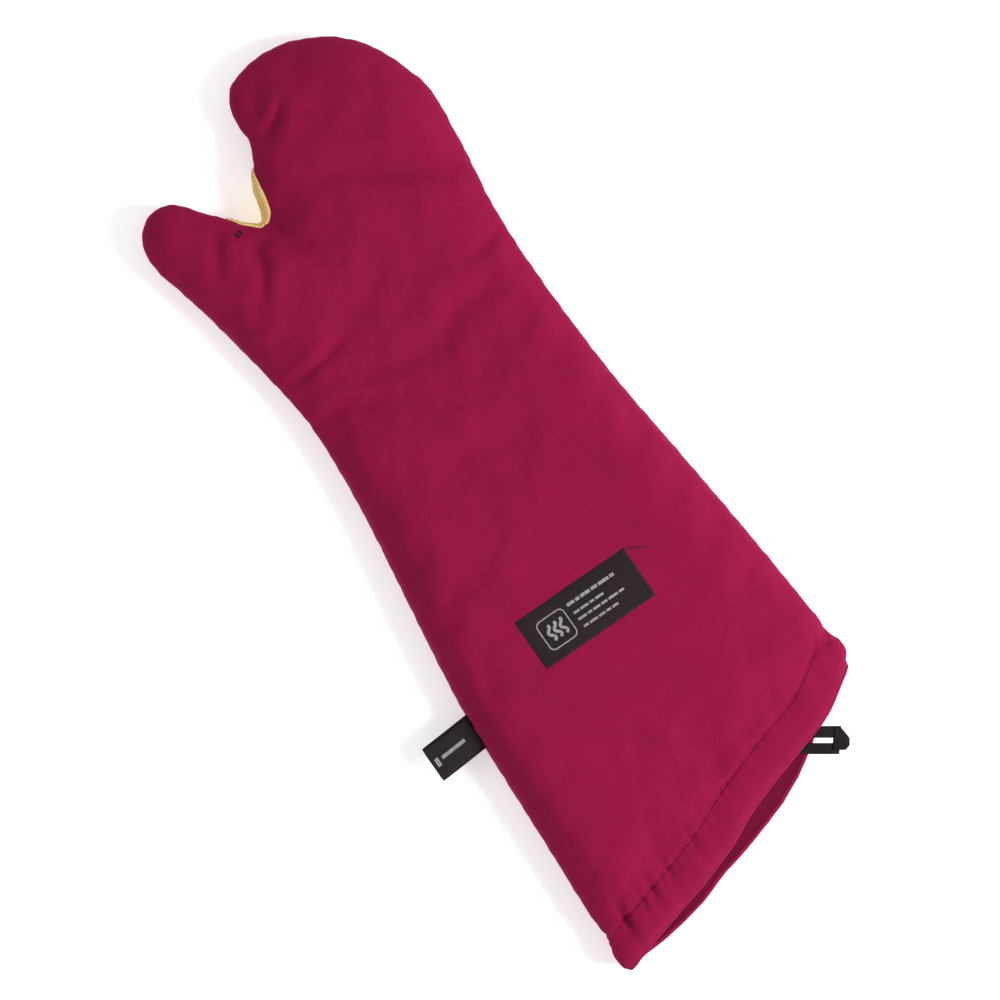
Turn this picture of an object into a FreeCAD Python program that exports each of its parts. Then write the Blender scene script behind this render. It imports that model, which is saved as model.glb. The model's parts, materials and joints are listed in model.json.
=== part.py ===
import FreeCAD, Part
import math
import os
import Sketcher

# Elbow-length heat mitt, lying flat on its lower panel with the thumb towards -X.
# +Y runs up the sleeve to the fingertips. The sleeve's centreline is x = 0 and its
# lowest cuff corner is y = 0 while the pieces are built; the last step moves them all
# so that the origin is under the middle of the whole mitt.

doc = FreeCAD.newDocument("HeatMitt")
sheet = doc.addObject("Spreadsheet::Sheet", "Sizes")

sizes = {
    # outline: distances up the sleeve
    "cuffOverrun": 45, "forearmAt": 200, "forearmRightAt": 160, "sleeveLength": 392,
    "thumbLength": 164, "thumbLean": 8, "crotchRise": 116, "fingerRise": 170,
    "handLength": 211, "tipDrop": 3, "tipFall": 55,
    # outline: distances left and right of the sleeve's centreline
    "cuffLeft": 119, "cuffRight": 121, "forearmLeft": 107.5, "forearmRight": 107.5,
    "wristLeft": 81.5, "wristRight": 83.5, "thumbOut": 113, "thumbIn": 77, "crotchLeft": 36.5,
    "fingerLeft": 15, "tipLeft": 11, "tipRight": 52, "palmRight": 101,
    # how round the outline's corners are
    "forearmRound": 400, "wristRound": 140, "thumbRound": 23, "thumbInRound": 20,
    "crotchRound": 5.5, "fingerRound": 40, "tipRound": 21, "knuckleRound": 50, "wristRightRound": 250,
    # padded body from the side
    "bodyHeight": 38, "seamBand": 2,
    # cloth
    "shellThick": 1.2, "barrierThick": 0.8, "paddingThick": 3.2, "liningThick": 1.4,
    "hemThick": 1.0, "labelThick": 0.7, "guardThick": 1.2,
    # cuff
    "cuffSlant": 20.2, "cuffLean": 19, "cuffRadius": 601, "cuffBulge": 12,
    "cuffMiddleX": -2, "cuffMiddleY": 42, "hemDepth": 25, "threadWidth": 1.0,
    # label, side tag and hanging loop
    "labelX": -8.2, "labelY": 203.3, "labelLength": 81, "labelWidth": 35,
    "labelMargin": 2.4, "labelThread": 0.8,
    "tagY": 178.5, "tagLength": 33, "tagTuck": 8, "tagWidth": 24, "tagThick": 1.2,
    "loopX": 58.6, "loopY": 57.3, "loopTurn": -34.65, "loopLength": 28, "loopTuck": 16,
    "loopWidth": 18, "loopThick": 1.4, "loopEye": 5.2, "loopStrap": 8, "loopLift": 15,
    # web guard in the crotch of the thumb
    "guardDown": 1.5, "guardUp": 21, "guardHalfX": 21, "guardHalfY": 24, "guardHalfZ": 15,
    # fold lines of the fingers and the thumb
    "fingerFoldX": -2, "fingerFoldUp": 139, "fingerFoldTurn": -26, "fingerFoldHalf": 26,
    "thumbFoldX": -46, "thumbFoldUp": 133, "thumbFoldTurn": 45.4, "thumbFoldHalf": 21,
    "thumbFoldReach": 6, "foldGap": 0.4, "moverGap": 0.6,
    # how far the cutting blocks reach, well past the mitt
    "farReach": 1000,
}
hair = 0.01                                  # shorter than any real edge

for row, (name, value) in enumerate(sizes.items(), start=1):
    sheet.set("A%d" % row, name)
    sheet.set("B%d" % row, str(value))
    sheet.setAlias("B%d" % row, name)
doc.recompute()

cornerRounds = [
    # across, along, corner radius: clockwise from the left of the cuff
    ("- cuffLeft", "- cuffOverrun", None),
    ("- forearmLeft", "+ forearmAt", "forearmRound"),
    ("- wristLeft", "+ sleeveLength", "wristRound"),
    ("- thumbOut", "+ sleeveLength + thumbLength", "thumbRound"),
    ("- thumbIn", "+ sleeveLength + thumbLength + thumbLean", "thumbInRound"),
    ("- crotchLeft", "+ sleeveLength + crotchRise", "crotchRound"),
    ("- fingerLeft", "+ sleeveLength + fingerRise", "fingerRound"),
    ("- tipLeft", "+ sleeveLength + handLength", "tipRound"),
    ("+ tipRight", "+ sleeveLength + handLength - tipDrop", "knuckleRound"),
    ("+ palmRight", "+ sleeveLength + handLength - tipDrop - tipFall", "knuckleRound"),
    ("+ wristRight", "+ sleeveLength", "wristRightRound"),
    ("+ forearmRight", "+ forearmRightAt", "forearmRound"),
    ("+ cuffRight", "- cuffOverrun", None),
]


def named(text):
    """Puts the sheet's name before each size in an expression."""
    words = []
    for word in str(text).split():
        words.append("Sizes." + word if word in sizes else word)
    return " ".join(words)


def total(text):
    """The sum that a row of signed size names comes to."""
    words = text.split()
    return sum(sizes[name] * (-1 if sign == "-" else 1) for sign, name in zip(words[0::2], words[1::2]))


corners = [FreeCAD.Vector(total(across), total(along), 0) for across, along, radius in cornerRounds]


def outlineSketch():
    """The mitt's plan as straight runs between its corners; the corners are rounded later."""
    sketch = doc.addObject("Sketcher::SketchObject", "Outline")
    count = len(corners)
    runs = [Part.LineSegment(corners[index], corners[(index + 1) % count]) for index in range(count)]
    sketch.addGeometry(runs, False)
    for index, (across, along, radius) in enumerate(cornerRounds):
        before = (index - 1) % count
        sketch.addConstraint(Sketcher.Constraint("Coincident", before, 2, index, 1))
        for kind, text in (("DistanceX", across), ("DistanceY", along)):
            number = sketch.addConstraint(Sketcher.Constraint(kind, -1, 1, index, 1, total(text)))
            sketch.setExpression("Constraints[%d]" % number, "0 " + named(text))
    return sketch


def roundsThatFit():
    """Each corner's rounding, smaller where two neighbours need more than the run between them."""
    count = len(corners)
    runs = [corners[index] - corners[index - 1] for index in range(count)]
    turns = [runs[index].getAngle(runs[(index + 1) % count]) for index in range(count)]
    wanted = [sizes[radius] if radius else 0 for across, along, radius in cornerRounds]
    needs = [radius * math.tan(turn / 2) for radius, turn in zip(wanted, turns)]
    fitted = list(wanted)
    for index in range(count):
        share = min(1, (runs[index].Length - hair) / max(hair, needs[index - 1] + needs[index]))
        for end in (index - 1, index):
            fitted[end] = min(fitted[end], wanted[end] * share)
    return fitted


cornerRadii = roundsThatFit()


def cornerRadius(point, inset):
    """The rounding of the outline's corner nearest to a point, or nothing at a square one."""
    index = min(range(len(corners)), key=lambda number: corners[number].distanceToPoint(point))
    if not cornerRadii[index]:
        return None
    before = corners[index] - corners[index - 1]
    after = corners[(index + 1) % len(corners)] - corners[index]
    turnsIn = before.cross(after).z > 0
    return cornerRadii[index] + inset if turnsIn else cornerRadii[index] - inset


def flat(edge):
    """An edge's first end, brought down to the plan."""
    point = edge.Vertexes[0].Point
    return FreeCAD.Vector(point.x, point.y, 0)


def rounded(name, base, radiusOf):
    """Fillets each edge of the base that radiusOf gives a radius for."""
    fillet = doc.addObject("Part::Fillet", name)
    fillet.Base = base
    edges = []
    for number, edge in enumerate(base.Shape.Edges, start=1):
        radius = radiusOf(edge)
        if radius:
            edges.append((number, radius, radius))
    fillet.Edges = edges
    doc.recompute()
    return fillet


def form(name, inset, names=()):
    """The whole padded body, drawn in all round by the named cloths or by a plain number."""
    insetText = " + ".join(names) if names else str(inset)
    drawnIn = sum(sizes[word] for word in names) if names else inset
    rim = outline
    if drawnIn:
        rim = doc.addObject("Part::Offset2D", name + "Rim")
        rim.Source = outline
        rim.Join = "Intersection"
        rim.setExpression("Value", named("0 - ( %s )" % insetText))
    slab = doc.addObject("Part::Extrusion", name + "Slab")
    slab.Base = rim
    slab.DirMode = "Custom"
    slab.Dir = FreeCAD.Vector(0, 0, 1)
    slab.Solid = True
    slab.setExpression("LengthFwd", named("bodyHeight - 2 * ( %s )" % insetText))
    slab.setExpression(".Placement.Base.z", named(insetText))
    doc.recompute()
    softness = (sizes["bodyHeight"] - sizes["seamBand"]) / 2 - drawnIn
    cuffEnd = drawnIn - sizes["cuffOverrun"] + hair

    def cornerRound(edge):
        stands = edge.BoundBox.ZLength > hair
        return cornerRadius(flat(edge), drawnIn) if stands else None

    def rimRound(edge):
        lies = edge.BoundBox.ZLength < hair
        return softness if lies and edge.BoundBox.YMax > cuffEnd else None

    upright = rounded(name + "Upright", slab, cornerRound)
    return rounded(name, upright, rimRound)


def boolean(kind, name, pieces):
    result = doc.addObject(kind, name)
    if kind == "Part::Cut":
        result.Base, result.Tool = pieces
    else:
        result.Shapes = pieces
    return result


def common(name, *pieces):
    return boolean("Part::MultiCommon", name, list(pieces))


def fuse(name, *pieces):
    return boolean("Part::MultiFuse", name, list(pieces))


def cut(name, base, tool):
    return boolean("Part::Cut", name, (base, tool))


def block(name, size, corner, pivot=("0", "0", "0"), turn=("0", "0")):
    """A box whose corner is given from a pivot that is turned about Z, then about its own X."""
    box = doc.addObject("Part::Box", name)
    for side, text in zip(("Length", "Width", "Height"), size):
        box.setExpression(side, named(text))
    place = ("placement(vector(%s; %s; %s); rotation(%s; 0; %s))"
             " * placement(vector(%s; %s; %s); rotation(0; 0; 0))")
    box.setExpression("Placement", place % tuple(named(text) for text in pivot + turn + corner))
    return box


def wall(name, outside, inside):
    """The cloth between two nested forms: the outer one's skin round the inner one as a hollow."""
    hollow = inside.Shape.Solids[0].OuterShell.copy()
    hollow.reverse()
    cloth = doc.addObject("Part::Feature", name)
    cloth.Shape = Part.makeSolid(Part.Compound([outside.Shape.Solids[0].OuterShell, hollow]))
    return cloth


def cuffDrum(name, inset):
    """The round, leaning end of the sleeve: everything on the fingers' side of the cuff edge."""
    drum = doc.addObject("Part::Cylinder", name)
    drum.setExpression("Radius", named("cuffRadius - %s" % inset))
    drum.setExpression("Height", named("2 * farReach"))
    place = ("placement(vector(%s; %s; %s); rotation(%s; 0; -%s))"
             " * placement(vector(0; %s; %s); rotation(0; 0; 0))")
    words = ("cuffMiddleX", "cuffMiddleY", seam, "cuffSlant", "cuffLean",
             "cuffRadius - cuffBulge", "0 - farReach")
    drum.setExpression("Placement", place % tuple(named(word) for word in words))
    return drum


seam = "bodyHeight / 2"                      # height of the side seam
outline = outlineSketch()

# nested forms, from the outside of the trims to the inside of the turned hem
guardForm = form("GuardForm", -sizes["guardThick"])
trimForm = form("TrimForm", -sizes["labelThick"])
outerForm = form("OuterForm", 0)
shellForm = form("ShellForm", 0, ["shellThick"])
barrierForm = form("BarrierForm", 0, ["shellThick", "barrierThick"])
paddingForm = form("PaddingForm", 0, ["shellThick", "barrierThick", "paddingThick"])
liningForm = form("LiningForm", 0, ["shellThick", "barrierThick", "paddingThick", "liningThick"])
hemForm = form("HemForm", 0, ["shellThick", "barrierThick", "paddingThick", "liningThick", "hemThick"])

layers = {
    "shell": wall("ShellWall", outerForm, shellForm),
    "barrier": wall("BarrierWall", shellForm, barrierForm),
    "padding": wall("PaddingWall", barrierForm, paddingForm),
    "lining": wall("LiningWall", paddingForm, liningForm),
}
edgeWall = wall("EdgeWall", outerForm, hemForm)
facingWall = wall("FacingWall", liningForm, hemForm)
trimWall = wall("TrimWall", trimForm, outerForm)
guardWall = wall("GuardWall", guardForm, outerForm)
labelThreadWall = wall("LabelThreadWall", guardForm, trimForm)

cuffEdge = cuffDrum("CuffEdge", "0")
cuffInner = cuffDrum("CuffInner", "hemThick")
hemEnd = cuffDrum("HemEnd", "hemDepth")

# halves above and below the side seam
farBlock = ("2 * farReach", "2 * farReach", "farReach")
above = block("AboveSeam", farBlock, ("0 - farReach", "0 - farReach", seam))
below = block("BelowSeam", farBlock, ("0 - farReach", "0 - farReach", seam + " - farReach"))


def foldBlock(name, fold, gap, lean):
    """The mover's side of a fold: a half space from the gap on, leaning above the fold line."""
    reach = "thumbFoldReach" if fold == "thumb" else "farReach"
    size = (reach + " + farReach", "farReach", "2 * farReach")
    pivot = (fold + "FoldX", "sleeveLength + %sFoldUp" % fold, seam)
    return block(name, size, ("0 - farReach", gap, "0 - farReach"), pivot, (fold + "FoldTurn", lean))


def foldPair(fold):
    """What the fold takes from the still part, and what it leaves to the moving one."""
    title = fold.capitalize()
    lean = fold + "FoldHalf"
    taken = fuse(title + "Taken", foldBlock(title + "TakenBelow", fold, "0 - foldGap", "0"),
                 foldBlock(title + "TakenAbove", fold, "0 - foldGap", lean))
    kept = common(title + "Kept", foldBlock(title + "KeptBelow", fold, "foldGap", "0"),
                  foldBlock(title + "KeptAbove", fold, "foldGap", "0 - " + lean))
    return taken, kept


fingerTaken, fingerKept = foldPair("finger")
thumbTaken, thumbKept = foldPair("thumb")
foldsTaken = fuse("FoldsTaken", fingerTaken, thumbTaken)

regions = {
    "sleeve": cut("SleeveRegion", cuffInner, foldsTaken),
    "fingers": fingerKept,
    "thumb": thumbKept,
}

parts = {}
for region, keep in regions.items():
    for side, half in (("top", above), ("bottom", below)):
        for layer, cloth in layers.items():
            name = "%s_%s_%s" % (layer, side, region)
            parts[name] = common(name, cloth, keep, half)

# turned hem: an edge round the layers' ends and a facing inside the mouth
edgeRing = common("EdgeRing", edgeWall, cut("EdgeBand", cuffEdge, cuffInner))
facingRing = common("FacingRing", facingWall, cut("FacingBand", cuffEdge, hemEnd))
hemRing = fuse("HemRing", edgeRing, facingRing)
parts["hem_top"] = common("hem_top", hemRing, above)
parts["hem_bottom"] = common("hem_bottom", hemRing, below)

# row of hem thread round the outside
threadNear = cuffDrum("ThreadNear", "( hemDepth - threadWidth )")
threadBand = cut("ThreadBand", threadNear, hemEnd)
overFloor = block("OverFloor", farBlock, ("0 - farReach", "0 - farReach", "0"))
parts["hem_thread"] = common("hem_thread", trimWall, threadBand, overFloor)

# guard of tough cloth over the crotch seam, between the thumb and the fingers
guardPatch = doc.addObject("Part::Ellipsoid", "GuardPatch")
for radius, size in (("Radius1", "guardHalfZ"), ("Radius2", "guardHalfX"), ("Radius3", "guardHalfY")):
    guardPatch.setExpression(radius, named(size))
guardPlace = "placement(vector(%s; %s; %s); rotation(0; 0; 0))"
guardWords = ("0 - crotchLeft - guardDown", "sleeveLength + crotchRise + guardUp", seam)
guardPatch.setExpression("Placement", guardPlace % tuple(named(word) for word in guardWords))
parts["web_guard"] = cut("web_guard", common("GuardHere", guardWall, guardPatch), foldsTaken)


def labelBlock(name, inset):
    size = ("labelLength - 2 * %s" % inset, "labelWidth - 2 * %s" % inset, "farReach")
    corner = ("labelX - labelLength / 2 + %s" % inset, "labelY - labelWidth / 2 + %s" % inset, seam)
    return block(name, size, corner)


labelFrame = cut("LabelFrame", labelBlock("LabelFrameOut", "labelMargin"),
                 labelBlock("LabelFrameIn", "( labelMargin + labelThread )"))
parts["label"] = common("label", trimWall, labelBlock("LabelBlock", "0"))
parts["label_thread"] = common("label_thread", labelThreadWall, labelFrame)

# folded side tag, held in the left seam and free beyond it
tagTaper = "( cuffLeft - forearmLeft ) / ( forearmAt + cuffOverrun ) * ( forearmAt - tagY )"
tagTip = "0 - forearmLeft - %s - tagLength" % tagTaper
tagBlock = block("TagBlock", ("tagLength + tagTuck", "tagWidth", "tagThick"),
                 (tagTip, "tagY - tagWidth / 2", seam + " - tagThick / 2"))
parts["side_tag"] = cut("side_tag", tagBlock, trimForm)

# hanging loop: a flat tape that runs out, folds over and comes back beside itself
loopPivot = ("loopX", "loopY", seam + " + loopLift")
loopTurned = ("loopTurn", "0")
tape = block("LoopTape", ("loopLength + loopTuck", "loopWidth", "loopThick"),
             ("0 - loopTuck", "0 - loopWidth / 2", "0 - loopThick / 2"), loopPivot, loopTurned)
eye = block("LoopEye", ("loopLength + loopTuck - loopStrap", "loopEye", "4 * loopThick"),
            ("0 - loopTuck", "0 - loopEye / 2", "-2 * loopThick"), loopPivot, loopTurned)
loopClear = cuffDrum("LoopClear", "( 0 - moverGap )")
parts["hanging_loop"] = cut("hanging_loop", cut("LoopWithEye", tape, eye), loopClear)

doc.recompute()
for thing in doc.Objects:
    if "Invalid" in thing.State or "Error" in thing.State:
        raise RuntimeError("%s failed: %s" % (thing.Name, thing.State))
for name, piece in parts.items():
    if piece.Shape.isNull() or not piece.Shape.isValid() or not piece.Shape.Solids:
        raise RuntimeError("%s has no sound solid" % name)

# origin on the floor, under the middle of the whole mitt
whole = FreeCAD.BoundBox()
for piece in parts.values():
    whole.add(piece.Shape.optimalBoundingBox(False))
shift = FreeCAD.Vector(-whole.Center.x, -whole.Center.y, -whole.ZMin)
for name, piece in parts.items():
    piece.Label = name
    piece.Placement = FreeCAD.Placement(shift, FreeCAD.Rotation())
doc.recompute()

os.makedirs("parts", exist_ok=True)
for name, piece in parts.items():
    piece.Shape.exportStep("parts/%s.step" % name)
    print(name, len(piece.Shape.Solids), round(piece.Shape.Volume))
print("origin shift", [round(value, 3) for value in shift])
print("size", whole.XLength, whole.YLength, whole.ZLength)
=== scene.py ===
# Elbow-length heat mitt: cloth shell, guard, label, tag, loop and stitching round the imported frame.
import math
import json
import bpy
import numpy as np
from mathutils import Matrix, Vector
from mathutils.geometry import delaunay_2d_cdt


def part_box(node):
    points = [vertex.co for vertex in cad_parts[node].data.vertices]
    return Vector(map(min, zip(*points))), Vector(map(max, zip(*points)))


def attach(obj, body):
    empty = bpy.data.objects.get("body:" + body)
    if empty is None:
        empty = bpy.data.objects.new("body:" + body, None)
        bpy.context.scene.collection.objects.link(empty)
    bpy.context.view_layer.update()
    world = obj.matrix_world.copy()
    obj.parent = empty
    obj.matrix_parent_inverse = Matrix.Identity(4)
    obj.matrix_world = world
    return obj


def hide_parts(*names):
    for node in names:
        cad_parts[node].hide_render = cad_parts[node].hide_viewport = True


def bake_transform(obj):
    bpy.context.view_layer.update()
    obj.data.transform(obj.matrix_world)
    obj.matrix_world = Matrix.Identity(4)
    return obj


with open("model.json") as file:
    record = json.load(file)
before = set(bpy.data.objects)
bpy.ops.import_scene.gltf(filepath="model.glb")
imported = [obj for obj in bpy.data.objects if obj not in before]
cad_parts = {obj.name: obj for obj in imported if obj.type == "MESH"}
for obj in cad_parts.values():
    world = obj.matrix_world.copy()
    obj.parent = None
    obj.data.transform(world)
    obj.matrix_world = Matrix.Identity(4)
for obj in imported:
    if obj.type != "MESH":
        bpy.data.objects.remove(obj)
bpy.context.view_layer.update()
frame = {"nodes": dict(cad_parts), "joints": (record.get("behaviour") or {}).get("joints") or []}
print("frame loaded:", len(frame["nodes"]), "nodes")

# Plan lengths are millimetres up the sleeve (y) and across it (x), thumb towards -x.
# The label's middle ties that plan to the frame.
labelPlan = {"middle": (-8.2, 203.3), "size": (81.0, 35.0)}
labelLow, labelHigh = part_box("label")
planZero = (labelLow + labelHigh) / 2 - Vector((labelPlan["middle"][0], labelPlan["middle"][1], 0)) / 1000
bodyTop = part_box("shell_top_sleeve")[1].z * 1000
foldJoints = {joint["name"]: joint for joint in frame["joints"]}


def toFrame(points):
    # plan millimetres to the frame's metres
    moved = np.asarray(points, float) / 1000
    moved[..., 0] += planZero.x
    moved[..., 1] += planZero.y
    return moved


def toPlan(point):
    return np.array([(point[0] - planZero.x) * 1000, (point[1] - planZero.y) * 1000])


def smoothStep(low, high, value):
    t = np.clip((value - low) / (high - low), 0, 1)
    return t * t * (3 - 2 * t)


def unit(vectors):
    return vectors / np.linalg.norm(vectors, axis=-1)[..., None]


def walkAlong(line):
    # how far along a line each of its points is
    return np.r_[0, np.cumsum(np.linalg.norm(np.diff(line, axis=0), axis=1))]


# the mitt's outline on the table: up the thumb side, round the tip and back down, then along the cuff
outline = {
    "spacing": 3.0,
    "seam": [(-114.5, 2), (-116.8, 8), (-116.2, 17), (-113.8, 27), (-114.6, 45), (-112.6, 87), (-108, 187),
             (-103.8, 224), (-96.6, 274), (-89.4, 324), (-85.6, 364), (-84.8, 398), (-89.7, 436), (-94, 461),
             (-98.6, 486), (-104.2, 510), (-108, 526), (-107.4, 541), (-100, 553.5), (-88, 558.5),
             (-76, 555.5), (-65.5, 544), (-50.5, 526.5), (-43, 518.3), (-37, 514.5), (-33.3, 521.5),
             (-28.5, 537), (-20.3, 549), (-15.3, 560), (-15.2, 572), (-12.6, 585), (-5.8, 594.6), (6, 599.2),
             (22, 600.8), (38, 598.4), (52, 592.6), (68, 582.2), (82.5, 564), (93.2, 538), (96.6, 521),
             (93.8, 486), (88.4, 445), (86.8, 414), (87.2, 373), (90.2, 311), (96.7, 249), (103, 187),
             (108.2, 124), (109, 107), (111.6, 98), (111.9, 91), (108.4, 83.5)],
    "cuff": [(108.4, 83.5), (92, 73), (75, 63.5), (50, 56), (33, 51), (4, 41), (-17, 31.5), (-44, 22.5),
             (-72, 14.5), (-94, 8.5), (-114.5, 2)],
}


def smoothLine(controls, spacing):
    # a soft curve through the controls, walked at even steps
    pts = np.array(controls, float)
    ext = np.vstack([2 * pts[0] - pts[1], pts, 2 * pts[-1] - pts[-2]])
    dense = []
    for i in range(1, len(ext) - 2):
        p0, p1, p2, p3 = ext[i - 1:i + 3]
        reach = np.linalg.norm(p2 - p1)
        m1 = (p2 - p0) / (np.linalg.norm(p1 - p0) + reach) * reach
        m2 = (p3 - p1) / (np.linalg.norm(p3 - p2) + reach) * reach
        t = np.linspace(0, 1, 24, endpoint=False)[:, None]
        dense.append((2 * t**3 - 3 * t**2 + 1) * p1 + (t**3 - 2 * t**2 + t) * m1
                     + (3 * t**2 - 2 * t**3) * p2 + (t**3 - t**2) * m2)
    dense = np.vstack(dense + [pts[-1:]])
    walk = walkAlong(dense)
    even = np.linspace(0, walk[-1], max(2, int(round(walk[-1] / spacing)) + 1))
    return np.column_stack([np.interp(even, walk, dense[:, k]) for k in range(dense.shape[1])])


seamLine = smoothLine(outline["seam"], outline["spacing"])
cuffLine = smoothLine(outline["cuff"], outline["spacing"])


def lineFacts(line):
    # lengths along a line and its left-hand normals at each point
    ahead = unit(np.gradient(line, axis=0))
    return walkAlong(line), np.column_stack([-ahead[:, 1], ahead[:, 0]])


seamWalk, seamOut = lineFacts(seamLine)         # clockwise, so the left-hand normal points out
cuffWalk, cuffOut = lineFacts(cuffLine)


def nearest(points, line, walk):
    # distance to a line and how far along it the nearest place is
    far = np.empty(len(points))
    where = np.empty(len(points))
    start, step = line[:-1], np.diff(line, axis=0)
    square = (step**2).sum(1)
    batch = 1500        # points measured at a time, to spare memory
    for low in range(0, len(points), batch):
        p = points[low:low + batch, None, :] - start[None]
        t = np.clip((p * step).sum(2) / square, 0, 1)
        gap = np.linalg.norm(p - t[..., None] * step, axis=2)
        pick = gap.argmin(1)
        rows = np.arange(len(pick))
        far[low:low + batch] = gap[rows, pick]
        where[low:low + batch] = walk[pick] + t[rows, pick] * np.sqrt(square[pick])
    return far, where


def along(values, walk, where):
    # values given at the points of a line, read at places along it
    return np.column_stack([np.interp(where, walk, values[:, k]) for k in range(values.shape[1])])


wholeTurn = 6.283


def waves(points, length, seed, count=7):
    # soft unevenness: a few crossing ripples, the same on every run
    dice = np.random.default_rng(seed)
    total = np.zeros(len(points))
    for angle, phase, stretch in dice.random((count, 3)):
        turn = angle * 2 * math.pi
        heading = np.array([math.cos(turn), math.sin(turn)])
        reach = length * (0.7 + 0.7 * stretch)
        total += np.sin(points @ heading * 2 * math.pi / reach + phase * wholeTurn)
    return total / count**0.5


# how the padded cloth stands, in millimetres
padding = {
    "seamHeight": 16.0, "seamWave": 1.2, "seamWaveLength": 90, "seamTipDrop": 3.5, "seamFade": 9,
    "crown": 21.0, "tallest": 40.4, "roundness": 2.2, "underRoundness": 2.5,
    "shoulder": 47.0, "thumbShoulder": 30.0, "underShoulder": 30.0,
    "wristDip": 3.0, "wristAt": 405, "wristWide": 55, "thumbDrop": 5.0, "tipDrop": 3.0,
    "cuffSink": 4.0, "cuffSinkWide": 55, "lipOut": 1.7, "seamSink": 1.0, "seamWrinkle": (0.4, 0.35),
    # unevenness above and below: height, length of the ripples, seed
    "uneven": [(0.95, 92, 3), (0.42, 31, 5), (0.16, 13, 8)],
    "underLift": 0.5, "underUneven": [(0.7, 60, 11), (0.3, 22, 12)], "mostUnder": 3,
    # turned hem: how deep it is stitched, its step, roll, groove and gathers
    "hemDepth": 22.5, "hemStep": 3.2, "underHemStep": 0.4, "hemRoll": 0.9, "hemRollWide": 7,
    "groove": 0.9, "grooveWide": 1.0, "gathers": 1.5, "gatherIn": 13.0, "gatherOut": 8.0,
    # sines that make the gathers and the seam's wrinkles: share, length, shift
    "hemSines": [(1, 13.3, 0.7), (0.7, 8.1, 2.1), (0.9, 21.9, 4.0)],
    "seamSines": [(1, 9.7, 0), (0.8, 14.9, 1.3), (0.7, 23.0, 2.9)],
}
lipReach = {"across": [-117, -100, -88, -70, -52, -32, -12, 4, 20, 38, 58, 80, 112],
            "out": [1.2, 2.8, 5.7, 8, 9.1, 8.6, 11.3, 13.9, 14.2, 12, 6, -4, 0]}
creases = [
    # plan places, depth, width: where the cloth folds in from above
    ([(-87, 422), (-64, 421.5), (-36, 427)], 3.2, 3.0),
    ([(-56, 424), (-20, 434), (20, 452)], 2.0, 8.5),
    ([(-82, 389), (-62, 392), (-24, 371)], 2.0, 4.6),
    ([(-4, 525), (38, 500), (79, 472)], 3.0, 8.0),
    ([(-16, 553), (0, 558), (12, 564.5), (19, 572)], 2.9, 3.0),
    ([(-64, 527), (-70, 514), (-80, 500)], 2.8, 3.6),
    ([(-46, 497), (-56, 484), (-66, 470)], 2.6, 4.2),
    ([(-36, 512), (-31, 497), (-18, 482)], 3.0, 5.0),
    ([(-40, 511), (-50, 500), (-57, 488)], 2.2, 4.2),
    ([(88, 428), (66, 424), (44, 427)], 2.0, 5.0),
    ([(-92, 452), (-74, 447), (-56, 449)], 1.8, 4.0),
    ([(-30, 330), (20, 318), (60, 322)], 1.1, 9.0),
]
underCreases = [
    ([(-84, 420), (-30, 414), (40, 421), (85, 417)], 1.6, 6.0),
    ([(-10, 530), (40, 500), (90, 480)], 1.3, 6.0),
    ([(-50, 515), (-75, 492), (-95, 470)], 1.3, 5.0),
]
thumbFold = toPlan(foldJoints["thumb_fold"]["pos_m"])
fingerAxis, thumbAxis = (np.array(foldJoints[name]["axis"][:2]) for name in ("finger_fold", "thumb_fold"))
fingerAway = np.array([-fingerAxis[1], fingerAxis[0]])
thumbAway = np.array([-thumbAxis[1], thumbAxis[0]])


def creaseLook(points, folds):
    # how deep the creases are at each place: a sharp line with a soft swell on one side
    depth = np.zeros(len(points))
    for places, deep, wide in folds:
        line = smoothLine(places, 2.0)
        walk, out = lineFacts(line)
        far, where = nearest(points, line, walk)
        side = ((points - along(line, walk, where)) * along(out, walk, where)).sum(1)
        ends = np.sin(np.clip(where / walk[-1], 0.0, 1.0) * math.pi) ** 0.6
        swell = 0.45 * np.exp(-((side - 2.1 * wide) / (1.3 * wide))**2) * (far < 5 * wide)
        depth += deep * ends * (np.exp(-(far / wide)**2) - swell)
    return depth


def ripple(where, sines):
    return sum(share * np.sin(where / length * wholeTurn + shift) for share, length, shift in sines) / 2.2


def hemRipple(where):
    # gathers along the hem stitching: sharp dips between round swells
    return 0.55 - 1.5 * np.abs(ripple(where, padding["hemSines"]) - 0.25)


def seamRipple(where):
    return ripple(where, padding["seamSines"])


settledCloth = {"low": (-128.0, -6.0), "step": 4.0, "field": np.zeros((158, 64, 3))}


def settled(points):
    # how far the simulated cloth moved at each plan place
    field = settledCloth["field"]
    u = (points - settledCloth["low"]) / settledCloth["step"]
    cell = np.clip(np.floor(u).astype(int), 0, (field.shape[1] - 2, field.shape[0] - 2))
    fx, fy = (u - cell).clip(0, 1).T[..., None]
    x, y = cell.T
    return ((field[y, x] * (1 - fx) + field[y, x + 1] * fx) * (1 - fy)
            + (field[y + 1, x] * (1 - fx) + field[y + 1, x + 1] * fx) * fy)


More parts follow.
